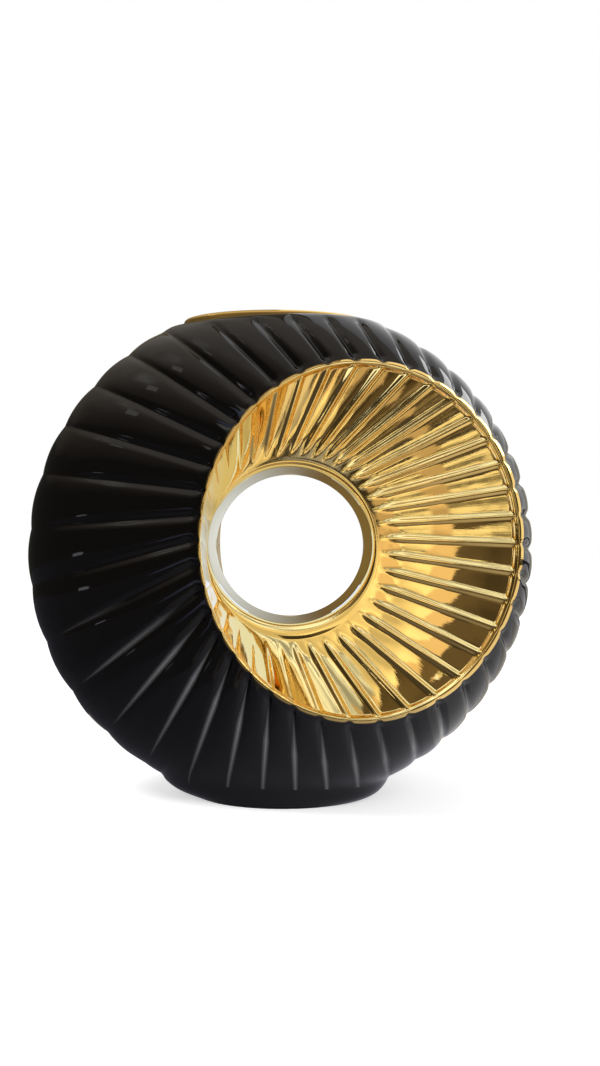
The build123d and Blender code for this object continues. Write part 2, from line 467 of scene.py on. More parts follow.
def stretch_of(path, start, end, rows):
    """Each column between two of its arc lengths, in even steps, by one interpolation over all columns."""
    lengths = lengths_down(path)
    far_apart = 10.0
    offsets = np.arange(path.shape[1]) * far_apart
    wanted = start + np.linspace(0, 1, rows)[:, None] * (end - start)
    known = (lengths + offsets).T.ravel()
    asked = (wanted + offsets).T.ravel()
    axes = [np.interp(asked, known, path[..., axis].T.ravel()) for axis in range(3)]
    return np.stack(axes, axis=-1).reshape(path.shape[1], rows, 3).transpose(1, 0, 2)


def eased(path, radius):
    """Corners along each column softened by repeated quarter-half-quarter averages, with the ends kept."""
    spacing = np.linalg.norm(np.diff(path, axis=0), axis=-1).mean()
    path = path.copy()
    for _ in range(int(2 * (radius / spacing) ** 2)):
        path[1:-1] = path[:-2] / 4 + path[1:-1] / 2 + path[2:] / 4
    return path


def normals_of(grid):
    """Unit normals of a grid whose columns close on themselves: cross products of the two differences."""
    down = np.gradient(grid, axis=0)
    round_ = np.roll(grid, -1, axis=1) - np.roll(grid, 1, axis=1)
    normal = np.cross(down, round_)
    return normal / np.maximum(np.linalg.norm(normal, axis=-1, keepdims=True), 1e-12)


def closed_piece(name, grid, across, along, material):
    """A mesh of quads over a grid that meets itself both ways, with a UV map of flutes and metres."""
    rows, columns = grid.shape[:2]
    index = np.arange(rows * columns).reshape(rows, columns)
    below = np.roll(index, -1, axis=0)
    quads = np.stack([index, np.roll(index, -1, axis=1), np.roll(below, -1, axis=1), below], axis=-1)
    quads = quads.reshape(-1, 4)
    wide = np.append(across, 2 * across[-1] - across[-2])
    long = np.vstack([along, 2 * along[-1] - along[-2]])
    long = np.hstack([long, long[:, :1]])
    left, right = wide[:-1], wide[1:]
    u = np.stack([left, right, right, left], axis=-1)[None].repeat(rows, axis=0)
    v = np.stack([long[:-1, :-1], long[:-1, 1:], long[1:, 1:], long[1:, :-1]], axis=-1)
    mesh = bpy.data.meshes.new(name)
    mesh.vertices.add(rows * columns)
    mesh.vertices.foreach_set("co", grid.astype(np.float32).ravel())
    mesh.loops.add(quads.size)
    mesh.loops.foreach_set("vertex_index", quads.astype(np.int32).ravel())
    mesh.polygons.add(len(quads))
    mesh.polygons.foreach_set("loop_start", np.arange(0, quads.size, 4, dtype=np.int32))
    mesh.update(calc_edges=True)
    layer = mesh.uv_layers.new(name="flutes")
    layer.data.foreach_set("uv", np.stack([u, v], axis=-1).astype(np.float32).ravel())
    work = bmesh.new()
    work.from_mesh(mesh)
    bmesh.ops.remove_doubles(work, verts=work.verts, dist=1e-6)
    bmesh.ops.dissolve_degenerate(work, edges=work.edges, dist=1e-7)
    bmesh.ops.recalc_face_normals(work, faces=work.faces)
    work.to_mesh(mesh)
    work.free()
    mesh.shade_smooth()
    sharp_edge = math.radians(50)
    mesh.set_sharp_from_angle(angle=sharp_edge)
    mesh.materials.append(material)
    piece = bpy.data.objects.new(name, mesh)
    bpy.context.scene.collection.objects.link(piece)
    return piece


def stood_for(piece, node):
    """Hands a finished piece to the frame in place of its CAD node."""
    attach(piece, "root")
    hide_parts(node)


def flipped(grid):
    """The same grid on the other side of the seam."""
    return grid * np.array([1.0, -1.0, 1.0])


class Term:
    """One output socket whose operators add Math nodes to its tree."""

    def __init__(self, paint, socket):
        self.paint = paint
        self.socket = socket

    def math(self, operation, other):
        """A Math node of this term and another."""
        return self.paint.node("ShaderNodeMath", {"operation": operation}, {0: self, 1: other})

    def __add__(self, other):
        return self.math("ADD", other)

    def __sub__(self, other):
        return self.math("SUBTRACT", other)

    def __mul__(self, other):
        return self.math("MULTIPLY", other)

    def __truediv__(self, other):
        return self.math("DIVIDE", other)


class Paint:
    """A material or world tree that is filled node by node."""

    def __init__(self, owner):
        owner.use_nodes = True
        self.tree = owner.node_tree
        self.tree.nodes.clear()

    def node(self, kind, settings, sockets, output=0):
        """Adds a node, sets its settings first and then its sockets, and returns one output as a Term."""
        made = self.tree.nodes.new(kind)
        for name, value in settings.items():
            if name == "stops":
                ramp = made.color_ramp.elements
                while len(ramp) < len(value):
                    ramp.new(1.0)
                for element, (position, colour) in zip(ramp, value):
                    element.position = position
                    element.color = (*colour, 1.0)
            else:
                setattr(made, name, value)
        for name, value in sockets.items():
            if isinstance(value, Term):
                self.tree.links.new(value.socket, made.inputs[name])
            else:
                made.inputs[name].default_value = value
        return Term(self, made.outputs[output]) if len(made.outputs) else None

    def mixed(self, factor, first, second):
        """A colour between two colours."""
        return self.node("ShaderNodeMix", {"data_type": "RGBA"}, {0: factor, 6: first, 7: second}, 2)

    def noise(self, where, scale, detail=2.0, roughness=0.5):
        """A noise value between 0 and 1 at a place."""
        sockets = {"Vector": where, "Scale": scale, "Detail": detail, "Roughness": roughness}
        return self.node("ShaderNodeTexNoise", {}, sockets, "Fac")

    def ramp(self, value, stops):
        """A grey ramp over a value."""
        stops = [(at, (grey,) * 3) for at, grey in stops]
        return self.node("ShaderNodeValToRGB", {"stops": stops}, {"Fac": value})

    def place(self, kind="Object"):
        """Texture coordinates of a kind."""
        return self.node("ShaderNodeTexCoord", {}, {}, kind)

    def axis(self, vector, name):
        """One part of a vector."""
        return self.node("ShaderNodeSeparateXYZ", {}, {0: vector}, name)

    def bump(self, strength, distance, height):
        """A normal that follows a height."""
        sockets = {"Strength": strength, "Distance": distance, "Height": height}
        return self.node("ShaderNodeBump", {}, sockets, "Normal")

    def surface(self, shader):
        """Links a shader to the material's output."""
        self.node("ShaderNodeOutputMaterial", {}, {"Surface": shader})

    def principled(self, sockets):
        """Makes the surface a Principled shader with these sockets."""
        self.surface(self.node("ShaderNodeBsdfPrincipled", {}, sockets, "BSDF"))

    def glow(self, colour):
        """Makes the surface a plain glow."""
        self.surface(self.node("ShaderNodeEmission", {}, {"Color": colour, "Strength": 1.0}))


def opaque(colour):
    """A colour with full alpha."""
    return (*colour, 1.0)


def black_glaze(finish, name):
    """Glossy black glaze with a faint orange peel, a little browner by turns.

    Along the grooves of the lower half a grey highlight is painted into the colour, in lines that taper away
    from the rim.
    """
    material = bpy.data.materials.new(name)
    paint = Paint(material)
    place = paint.place()
    black = tuple(finish.black)
    cloud = paint.noise(place, 14.0, 3.0)
    brown = opaque([black[0] * 1.5, black[1] * 1.2, black[2] * 0.8])
    colour = paint.mixed(cloud, opaque(black), brown)
    flute = paint.place("UV")
    turned = paint.axis(flute, "X")
    down = paint.axis(flute, "Y")
    height = paint.axis(place, "Z")
    # Painted highlight: grey lines along the grooves of the lower half, tapering away from the rim, mixed
    # into the base colour in place of reflected light
    aside = paint.node("ShaderNodeMath", {"operation": "PINGPONG"}, {0: turned, 1: 0.5})
    taper = paint.ramp(down * 10.0, [(0.03, 0.0), (0.25, 1.0), (0.85, 0.0)])
    low = paint.ramp(height * 10.0, [(0.7, 1.0), (1.15, 0.0)])
    thin = paint.ramp(aside / (taper * 0.11 + 0.02), [(0.0, 1.0), (0.45, 0.4), (1.0, 0.0)]) * taper * low
    colour = paint.mixed(thin, colour, opaque(finish.painted_groove_highlight))
    peel = paint.noise(place, 160.0, 2.0)
    wave = paint.noise(place, 30.0, 1.0)
    bump = paint.bump(0.1, 0.0006, peel * 0.15 + wave)
    shine = paint.noise(place, 55.0, 4.0) * 0.05 + 0.015
    sockets = {"Base Color": colour, "Roughness": shine, "Normal": bump, "IOR": 1.5}
    paint.principled(sockets)
    return material


def gold_lustre(finish, name, streak_strength):
    """Mirror gold: colour and gloss drift with the brush, whose fine streaks run along the flutes."""
    material = bpy.data.materials.new(name)
    paint = Paint(material)
    place = paint.place()
    flute = paint.place("UV")
    stretched = paint.node("ShaderNodeMapping", {}, {"Vector": flute, "Scale": (9.0, 45.0, 1.0)})
    streak = paint.noise(stretched, 1.0, 4.0, 0.6)
    cloud = paint.noise(place, 45.0, 3.0)
    colour = paint.mixed(cloud, opaque(finish.deep_gold), opaque(finish.gold))
    ripple = paint.noise(place, 60.0, 1.0)
    height = streak * streak_strength * 0.1 + ripple
    bump = paint.bump(0.45, 0.0006, height)
    shine = streak * 0.05 + 0.015
    sockets = {"Base Color": colour, "Metallic": 1.0, "Roughness": shine, "Normal": bump}
    paint.principled(sockets)
    return material


def bare_clay(finish, name):
    """Unglazed clay: matte, with fine grog specks and a sanded grain."""
    material = bpy.data.materials.new(name)
    paint = Paint(material)
    place = paint.place()
    speck = paint.ramp(paint.noise(place, 900.0, 2.0), [(0.38, 0.0), (0.45, 1.0)])
    clay = tuple(finish.clay)
    dark = opaque([part * 0.62 for part in clay])
    colour = paint.mixed(speck, dark, opaque(clay))
    grain = paint.noise(place, 700.0, 3.0)
    bump = paint.bump(0.4, 0.0003, grain)
    sockets = {"Base Color": colour, "Roughness": grain * 0.2 + 0.7, "Normal": bump}
    paint.principled(sockets)
    return material


def shared(name, maker, *choices):
    """A material that is made once and used by every piece that names it."""
    return bpy.data.materials.get(name) or maker(bpy.context.scene.vase_finish, name, *choices)


def body_paths(turn, ring, funnel, mouth):
    """The smooth outside of the front half, from the rim to the mouth's bore, the seam or the floor.

    On the dome the way across goes with the sine of an angle and the depth with its cosine. A column that
    passes the shoulder's height goes on flat to the bore's oval, and one that passes the foot's height goes
    on down a quarter ellipse to the foot's oval. Edges are softened. Returns the paths and which columns
    reach the foot.
    """
    rim = rim_points(turn, -funnel.rim_scallop, funnel)
    seam = seam_points(turn, ring)
    rise = seam[:, 1] - rim[:, 1]
    topped = seam[:, 1] > SHOULDER
    footed = seam[:, 1] < FOOT_TOP
    stop = np.where(topped, SHOULDER, FOOT_TOP)
    last_share = np.where(topped | footed, (stop - rim[:, 1]) / rise, 1.0)
    first = math.sin(ring.dome_start)
    last_angle = np.arcsin(np.clip(first + last_share * (1 - first), 0, 1))
    angle = ring.dome_start + np.linspace(0, 1, DOME_ROWS)[:, None] * (last_angle - ring.dome_start)
    share = (np.sin(angle) - first) / (1 - first)
    depth = SHELL_DEPTH * np.cos(angle) / math.cos(ring.dome_start)
    dome = placed(rim + (seam - rim) * share[..., None], depth)
    end = dome[-1]
    bore_half = np.array(mouth.bore) / 2
    bore = -bore_half[1] * np.sqrt(np.clip(1 - (end[:, 0] / bore_half[0]) ** 2, 0, 1))
    base_half = np.array(mouth.foot_base) / 2
    heading = end[:, :2] - np.array([mouth.foot_shift, 0.0])
    base = heading / np.hypot(heading[:, 0] / base_half[0], heading[:, 1] / base_half[1])[:, None]
    base = base + np.array([mouth.foot_shift, 0.0])
    swing = np.linspace(0, np.pi / 2, TAIL_ROWS)[1:, None]
    level = np.where(topped, np.linspace(0, 1, TAIL_ROWS)[1:, None], 1 - np.cos(swing))
    x = end[:, 0] + np.where(footed, (base[:, 0] - end[:, 0]) * level, 0.0)
    goal = np.where(footed, base[:, 1], np.where(topped, bore, end[:, 1]))
    y = end[:, 1] + (goal - end[:, 1]) * level
    z = end[:, 2] - np.where(footed, FOOT_TOP * np.sin(swing), 0.0)
    tail = np.stack([x, y, z], axis=-1)
    path = np.concatenate([dome, tail])
    path = stretch_of(path, 0.0, lengths_down(path)[-1], PATH_ROWS)
    return eased(path, ring.softness), footed


def foot_cut(path, footed):
    """The arc length at which a column that reaches the foot passes its height, or else the whole length."""
    lengths = lengths_down(path)
    height = path[..., 2]
    row = np.clip((height > FOOT_TOP).sum(axis=0), 1, len(path) - 1)
    column = np.arange(path.shape[1])
    above, under = height[row - 1, column], height[row, column]
    share = np.clip((above - FOOT_TOP) / np.maximum(above - under, 1e-9), 0, 1)
    crossing = lengths[row - 1, column] + share * (lengths[row, column] - lengths[row - 1, column])
    return np.where(footed, crossing, lengths[-1])


def flute_pitch(grid):
    """Width of one flute along each row, at each point."""
    half = FLUTE_STEPS // 2
    return np.linalg.norm(np.roll(grid, -half, axis=1) - np.roll(grid, half, axis=1), axis=-1)


def swell(distance, reach):
    """A raised cosine: 1 at distance 0, falling smoothly to 0 at reach."""
    return 0.5 + 0.5 * np.cos(np.pi * np.clip(distance / reach, 0, 1))


def from_fan(grid, funnel):
    """Unit vectors in the seam's plane that point away from the fan's middle."""
    away = grid - np.array([funnel.fan_centre[0], 0.0, funnel.fan_centre[1]])
    away[..., 1] = 0
    return away / np.linalg.norm(away, axis=-1, keepdims=True)


def rim_notch(gap, phase, scallop):
    """How far the rim's outline steps in: a shallow arch between two flutes and a small notch at each."""
    arch = 4 * phase * (1 - phase)
    return scallop * ((1 - NOTCH_SHARE) * (1 - arch) + NOTCH_SHARE * swell(gap, NOTCH_REACH))


def fluted_shell(ring, funnel, mouth):
    """The front shell's closed grid: fluted outside, then the plain inside one wall further in.

    The ribs are parabolic arches, and along each groove runs a crease, a raised cosine of the distance to its
    line, which grows shallow towards the seam. At the rim the grooves cut into the outline, and further on
    along the surface's normal. They fade out at the shoulder and above the foot.
    """
    crowding = 0.6
    crease_fade = (0.3, 0.95)
    rim_fade = 0.004
    shoulder_fade = (0.006, 0.0005)
    foot_fade = 0.014
    flutes = flute_columns(ring.flutes, FLUTE_STEPS, crowding)
    turn = flutes / ring.flutes * 2 * np.pi
    path, footed = body_paths(turn, ring, funnel, mouth)
    smooth = stretch_of(path, 0.0, foot_cut(path, footed), SHELL_ROWS)
    along = lengths_down(smooth)
    normal = normals_of(smooth)
    normal = normal * np.sign(np.mean(-normal[0, :, 1]))
    phase = flutes % 1.0
    gap = np.minimum(phase, 1 - phase) * flute_pitch(smooth)
    arch = 4 * phase * (1 - phase)
    crease = swell(gap, ring.groove_width / 2) * (1 - smoothstep(*crease_fade, along / along[-1]))
    valley = CREASE_SHARE * crease + (1 - CREASE_SHARE) * (1 - arch)
    near_rim = 1 - smoothstep(0.0, rim_fade, along)
    above = 1 - smoothstep(SHOULDER - shoulder_fade[0], SHOULDER - shoulder_fade[1], smooth[..., 2])
    below = smoothstep(FOOT_TOP, FOOT_TOP + foot_fade, smooth[..., 2])
    carve = ring.groove_depth * valley * (1 - near_rim) * above * below
    cut = rim_notch(gap, phase, funnel.rim_scallop) * near_rim
    outside = smooth - normal * carve[..., None] - from_fan(smooth, funnel) * cut[..., None]
    pick = np.linspace(0, len(smooth) - 1, SHELL_BACK_ROWS).astype(int)
    inside = smooth[pick] - normal[pick] * ring.wall
    inside[0] = smooth[0] + np.array([0.0, ring.wall, 0.0])
    seam_gap = np.where(smooth[pick][..., 1] > -1e-6, 0.0, -1e-5)
    inside[..., 1] = np.minimum(inside[..., 1], seam_gap)
    inside[..., 2] = np.clip(inside[..., 2], FOOT_TOP, SHOULDER - ring.wall)
    grid = np.concatenate([outside, inside[::-1]])
    back = along[-1] + np.linspace(0.005, 0.1, len(pick))[:, None]
    return grid, flutes, np.concatenate([along, back])


def foot_grid(ring, funnel, mouth):
    """The foot's closed grid: the lower ends of the body's columns in front and, mirrored, at the back.

    The flat underside follows, then the bore and the ledge on which the plate rests.
    """
    ledge_width = 0.0025
    turn = np.linspace(0, 2 * np.pi, FOOT_COLUMNS, endpoint=False)
    path, footed = body_paths(turn, ring, funnel, mouth)
    path = path[:, footed]
    lower = stretch_of(path, foot_cut(path, footed[footed]), lengths_down(path)[-1], FOOT_ROWS)
    outer = np.concatenate([lower, flipped(lower[:, ::-1])], axis=1)
    heading = outer[-1, :, :2] - np.array([mouth.foot_shift, 0.0])
    bore_half = np.array(mouth.foot_base) / 2 - mouth.foot_wall
    bore = heading / np.hypot(heading[:, 0] / bore_half[0], heading[:, 1] / bore_half[1])[:, None]
    size = np.linalg.norm(bore, axis=-1, keepdims=True)
    ledge = bore * (size - ledge_width) / size
    flat = np.stack([bore, bore, ledge, ledge]) + np.array([mouth.foot_shift, 0.0])
    height = np.array([0.0, plate_high.z, plate_high.z, FOOT_TOP])[:, None, None] + 0 * flat[..., :1]
    return np.concatenate([outer, np.concatenate([flat, height], axis=-1)])


def funnel_smooth(turn, ring, funnel):
    """The plain front of the funnel in rows: a bead, the bowed cone and a quarter ellipse to the hole's edge.

    The bead falls off outwards with a power of 1.5 and inwards with the square. The bow is a power of the way
    from collar to bead. Returns the grid and the rows at which cone and collar begin.
    """
    crest_at = 0.55
    crowding = 0.6
    inward = np.linspace(0, 1, BEAD_ROWS)[:, None]
    outline = rim_points(turn, -funnel.rim_scallop, funnel)
    inner = rim_points(turn, funnel.bead_width * (0.75 + 0.25 * np.cos(turn)), funnel)
    bead_flat = outline + (inner - outline) * inward[..., None]
    crest = HALF_DEPTH - SHELL_DEPTH
    drop = 0.001
    outer_fall = np.clip(1 - inward / crest_at, 0, 1) ** 1.5 * crest
    inner_fall = np.clip((inward - crest_at) / (1 - crest_at), 0, 1) ** 2 * drop
    bead_depth = HALF_DEPTH - outer_fall - inner_fall
    bead = placed(bead_flat, np.broadcast_to(bead_depth, bead_flat.shape[:2]))
    share = np.linspace(0, 1, CONE_ROWS)[1:, None]
    share = share - crowding * np.sin(2 * np.pi * share) / (2 * np.pi)
    collar = collar_points(turn, 0.0, funnel)
    collar_depth = THROAT_HALF + funnel.backing
    cone_flat = inner + (collar - inner) * share[..., None]
    cone_depth = collar_depth + (HALF_DEPTH - drop - collar_depth) * (1 - share) ** funnel.bow
    cone = placed(cone_flat, np.broadcast_to(cone_depth, cone_flat.shape[:2]))
    bend = np.linspace(0, np.pi / 2, COLLAR_ROWS)[1:, None]
    edge = throat_points(turn, 0.0, ring)
    lip_flat = collar + (edge - collar) * np.sin(bend)[..., None]
    lip_depth = THROAT_HALF + funnel.backing * np.cos(bend)
    lip = placed(lip_flat, np.broadcast_to(lip_depth, lip_flat.shape[:2]))
    return np.concatenate([bead, cone, lip]), len(bead), len(bead) + len(cone)


def gilt_funnel(ring, funnel):
    """The front funnel's closed grid: ridged gold in front, plain clay behind.

    The channels are pockets between high ground: the ridges on both sides, the bead and the collar. Each
    point's distances to these, in parts of their slopes' widths, join in a smooth minimum, so that the
    pockets' corners are round. The depth is a raised cosine of it, and a sag by the square of a sine between
    the ridges adds to it. It grows with the room between bead and collar.
    """
    crowding = 0.45
    blend = 0.2
    bead_slope, collar_slope = 0.0022, 0.012
    widest_ridge = 0.32
    least_depth, short_wall, long_wall = 0.25, 0.026, 0.046
    back_share = 0.25
    back_growth, socket_inset = 0.0033, 0.0008
    flutes = flute_columns(ring.flutes, FLUTE_STEPS, crowding)
    turn = flutes / ring.flutes * 2 * np.pi
    smooth, cone_row, lip_row = funnel_smooth(turn, ring, funnel)
    along = lengths_down(smooth)
    normal = normals_of(smooth)
    normal = normal * np.sign(np.mean(-normal[cone_row : cone_row + 10, :, 1]))
    phase = flutes % 1.0
    pitch = flute_pitch(smooth)
    aside = np.minimum(phase, 1 - phase) * pitch
    from_bead = np.maximum(along - along[cone_row - 1], 0)
    to_collar = np.maximum(along[lip_row - 1] - along, 0)
    sides = aside / np.minimum(funnel.ridge_width / 2, widest_ridge * pitch)
    ends = np.exp(-from_bead / (bead_slope * blend)) + np.exp(-to_collar / (collar_slope * blend))
    near = np.exp(-sides / blend) + ends
    low = 1 - swell(-blend * np.log(near), 1.0)
    wall = along[lip_row - 1] - along[cone_row - 1]
    room = least_depth + (1 - least_depth) * smoothstep(short_wall, long_wall, wall)
    lift = -low * room * (funnel.ridge_height + funnel.hollow * np.sin(np.pi * phase) ** 2)
    bead_turn = np.clip(np.arange(len(smooth)) / (cone_row - 1), 0, 1)[:, None]
    cut = rim_notch(aside, phase, funnel.rim_scallop) * np.cos(bead_turn * np.pi / 2) ** 2
    front = smooth + normal * lift[..., None] - from_fan(smooth, funnel) * cut[..., None]
    edge = placed(throat_points(turn, funnel.backing, ring), np.full(len(turn), THROAT_HALF))
    share = np.linspace(1, back_share, CONE_BACK_ROWS)[:, None]
    collar = collar_points(turn, funnel.backing, funnel)
    rim = rim_points(turn, -back_growth, funnel)
    collar_depth = THROAT_HALF + funnel.backing
    cone_depth = collar_depth + (HALF_DEPTH - collar_depth) * (1 - share) ** funnel.bow - funnel.backing
    cone_flat = rim + (collar - rim) * share[..., None]
    cone = placed(cone_flat, np.broadcast_to(cone_depth, cone_flat.shape[:2]))
    socket = rim_points(turn, socket_inset, funnel)
    neck_depth = np.array([SHELL_DEPTH - ring.wall, SHELL_DEPTH])[:, None] + 0 * turn
    neck = placed(np.stack([socket, socket]), neck_depth)
    grid = np.concatenate([front, edge[None], cone, neck])
    back = along[-1] + np.linspace(0.004, 0.06, len(grid) - len(front))[:, None]
    return grid, flutes, np.concatenate([along, back])


def oval_band(half, profile, columns):
    """A profile of (offset, height) pairs carried round an oval, with the offsets along the oval's normal."""
    turn = np.arange(columns) / columns * 2 * np.pi
    cos, sin = np.cos(turn), np.sin(turn)
    normal = np.stack([cos / half[0], sin / half[1]], axis=-1)
    normal = normal / np.linalg.norm(normal, axis=-1, keepdims=True)
    line = np.stack([half[0] * cos, half[1] * sin], axis=-1)
    profile = np.array(profile)
    flat = line + profile[:, 0, None, None] * normal
    height = np.broadcast_to(profile[:, 1, None], flat.shape[:2])
    return np.concatenate([flat, height[..., None]], axis=-1), turn


class VASE_OT_shells(bpy.types.Operator):
    """Builds the black fluted front and back shells"""

    bl_idname = "vase.shells"
    bl_label = "Black Shells"

    def execute(self, context):
        scene = context.scene
        material = shared("glossy_black", black_glaze)
        grid, flutes, along = fluted_shell(scene.vase_ring, scene.vase_funnel, scene.vase_mouth)
        front = closed_piece("front_shell_glazed", grid, flutes, along, material)
        back = closed_piece("back_shell_glazed", flipped(grid), flutes, along, material)
        stood_for(front, "front_shell")
        stood_for(back, "back_shell")
        return {"FINISHED"}


class VASE_OT_funnels(bpy.types.Operator):
    """Builds the gold fluted funnels in front and at the back"""

    bl_idname = "vase.funnels"
    bl_label = "Gold Funnels"

    def execute(self, context):
        scene = context.scene
        material = shared("mirror_gold", gold_lustre, 1.0)
        grid, flutes, along = gilt_funnel(scene.vase_ring, scene.vase_funnel)
        front = closed_piece("front_crater_gilt", grid, flutes, along, material)
        back = closed_piece("back_crater_gilt", flipped(grid), flutes, along, material)
        stood_for(front, "front_crater")
        stood_for(back, "back_crater")
        return {"FINISHED"}


class VASE_OT_throat(bpy.types.Operator):
    """Builds the smooth gold tube through the hole"""

    bl_idname = "vase.throat"
    bl_label = "Gold Throat"

    def execute(self, context):
        ring = context.scene.vase_ring
        material = shared("mirror_gold", gold_lustre, 1.0)
        centre = (throat_low + throat_high) / 2
        half = ((throat_high.x - throat_low.x) / 2, (throat_high.z - throat_low.z) / 2)
        depths = np.linspace(-THROAT_HALF, THROAT_HALF, THROAT_ROWS)
        inner = [(-ring.wall, depth) for depth in depths]
        outer = [(0.0, depth) for depth in depths[::-THROAT_BACK_STEP]]
        band, turn = oval_band(half, inner + outer, THROAT_COLUMNS)
        grid = np.stack([band[..., 0] + centre.x, band[..., 2], band[..., 1] + centre.z], axis=-1)
        across = turn / (2 * np.pi) * ring.flutes
        piece = closed_piece("throat_gilt", grid, across, lengths_down(grid), material)
        stood_for(piece, "throat_ring")
        return {"FINISHED"}


class VASE_OT_lip(bpy.types.Operator):
    """Builds the gold lip round the oval mouth"""

    bl_idname = "vase.lip"
    bl_label = "Mouth Lip"

    def execute(self, context):
        scene = context.scene
        mouth = scene.vase_mouth
        ring = scene.vase_ring
        material = shared("brushed_gold", gold_lustre, 0.5)
        half = (mouth.bore[0] / 2 + mouth.lip_wall, mouth.bore[1] / 2 + mouth.lip_wall)
        radius, spigot_wall, slip = 0.0018, 0.003, 0.0001
        inner = mouth.lip_wall + spigot_wall
        spigot = mouth.lip_wall + slip
        bend = LIP_TOP - radius
        turns = np.linspace(0, np.pi / 2, LIP_BEND_ROWS)
        outside = [(-radius + radius * math.cos(t), bend + radius * math.sin(t)) for t in turns]
        inside = [(-inner + radius - radius * math.sin(t), bend + radius * math.cos(t)) for t in turns]
        profile = [(-spigot, SHOULDER - ring.wall), (-spigot, SHOULDER), (0.0, SHOULDER)]
        profile = profile + outside + inside + [(-inner, SHOULDER), (-inner, SHOULDER - ring.wall)]
        grid, turn = oval_band(half, profile, LIP_COLUMNS)
        across = turn / (2 * np.pi) * ring.flutes
        piece = closed_piece("mouth_lip_gilt", grid, across, lengths_down(grid), material)
        stood_for(piece, "mouth_collar")
        return {"FINISHED"}


class VASE_OT_foot(bpy.types.Operator):
    """Builds the black oval foot from the shell's lower edge down to the floor"""

    bl_idname = "vase.foot"
    bl_label = "Foot Ring"

    def execute(self, context):
        scene = context.scene
        ring = scene.vase_ring
        material = shared("glossy_black", black_glaze)
        grid = foot_grid(ring, scene.vase_funnel, scene.vase_mouth)
        across = np.arange(grid.shape[1]) / grid.shape[1] * ring.flutes
        past_lines = 0.1
        along = lengths_down(grid) + past_lines
        piece = closed_piece("foot_ring_glazed", grid, across, along, material)
        stood_for(piece, "foot_ring")
        return {"FINISHED"}


class VASE_OT_plate(bpy.types.Operator):
    """Builds the bare clay plate that closes the foot"""

    bl_idname = "vase.plate"
    bl_label = "Base Plate"

    def execute(self, context):
        material = shared("raw_clay", bare_clay)
        bevel, bevel_share, top = 0.0006, 0.97, plate_high.z
        half = np.array([plate_high.x - plate_low.x, plate_high.y - plate_low.y]) / 2
        turn = np.arange(PLATE_COLUMNS) / PLATE_COLUMNS * 2 * np.pi
        middle = np.array([plate_high.x + plate_low.x, plate_high.y + plate_low.y]) / 2
        rim = np.stack([half[0] * np.cos(turn), half[1] * np.sin(turn)], axis=-1)
        shares = np.array([0.0, 0.5, bevel_share, 1.0, 1.0, bevel_share, 0.5, 0.0])
        heights = np.array([0.0, 0.0, 0.0, bevel, top - bevel, top, top, top])
        flat = middle + shares[:, None, None] * rim
        grid = np.concatenate([flat, heights[:, None, None] + 0 * flat[..., :1]], axis=-1)
        piece = closed_piece("base_plate_clay", grid, turn, lengths_down(grid), material)
        stood_for(piece, "base_plate")
        return {"FINISHED"}


def stage_piece(name, corners, faces, material, mirrored_only):
    """A piece of the stage, which may show only in reflections, as a studio's flags and cards do."""
    mesh = bpy.data.meshes.new(name)
    mesh.from_pydata(corners, [], faces)
    mesh.materials.append(material)
    piece = bpy.data.objects.new(name, mesh)
    bpy.context.scene.collection.objects.link(piece)
    if mirrored_only:
        piece.visible_camera = False
        piece.visible_diffuse = False
        piece.visible_transmission = False
        piece.visible_volume_scatter = False
        piece.visible_shadow = False


def card_glow(name, colour, mottle):
    """A glow for a card that shows in reflections, darker in soft blots by as much as the mottle says."""
    material = bpy.data.materials.new(name)
    paint = Paint(material)
    glow = opaque(colour)
    if mottle:
        place = paint.place()
        blot = paint.ramp(paint.noise(place, 24.0, 2.0), [(0.40, 0.0), (0.56, 1.0)])
        glow = paint.mixed(blot, opaque([part * (1 - mottle) for part in colour]), glow)
    paint.glow(glow)
    return material


def cloth_glow(name, axis, fold, stops):
    """A cloth whose glow follows colour stops along one axis, from -1 to 1 m, shifted by its folds."""
    material = bpy.data.materials.new(name)
    paint = Paint(material)
    place = paint.place()
    along = paint.axis(place, axis) + (paint.noise(place, 2.5, 2.0) - 0.5) * fold
    stops = [((at + 1) / 2, colour) for at, colour in stops]
    colour = paint.node("ShaderNodeValToRGB", {"stops": stops}, {"Fac": along * 0.5 + 0.5})
    paint.glow(colour)
    return material


def tent(name, start, end, top, material):
    """Cloth on a sphere of 1 m round the vase, from one azimuth to another and up to an elevation."""
    rows, columns = 17, 49
    azimuth = np.radians(np.linspace(start, end, columns))
    elevation = np.radians(np.linspace(0, top, rows))[:, None]
    x = np.cos(elevation) * np.sin(azimuth)
    y = -np.cos(elevation) * np.cos(azimuth)
    z = np.sin(elevation) + 0 * azimuth
    points = np.stack([x, y, z], axis=-1).reshape(-1, 3)
    index = np.arange(len(points)).reshape(rows, columns)
    faces = np.stack([index[:-1, :-1], index[:-1, 1:], index[1:, 1:], index[1:, :-1]], axis=-1)
    stage_piece(name, points.tolist(), faces.reshape(-1, 4).tolist(), material, True)


def quad(name, corners, material):
    """A flat stage piece with four corners that shows only in reflections."""
    stage_piece(name, corners, [(0, 1, 2, 3)], material, True)


def card(name, azimuth, elevation, distance, width, height, material):
    """A card that faces the vase's middle from an azimuth left (-) or right (+) of the camera's side."""
    azimuth, elevation = math.radians(azimuth), math.radians(elevation)
    level = math.cos(elevation)
    towards = np.array([level * math.sin(azimuth), -level * math.cos(azimuth), math.sin(elevation)])
    aside = np.array([math.cos(azimuth), math.sin(azimuth), 0.0])
    upwards = np.cross(aside, -towards)
    upwards = upwards * np.sign(upwards[2] + 1e-9)
    middle = np.array(MIDDLE) + towards * distance
    signs = np.array([(-1, -1), (1, -1), (1, 1), (-1, 1)])
    corners = middle + signs[:, :1] * aside * width / 2 + signs[:, 1:] * upwards * height / 2
    quad(name, corners.tolist(), material)


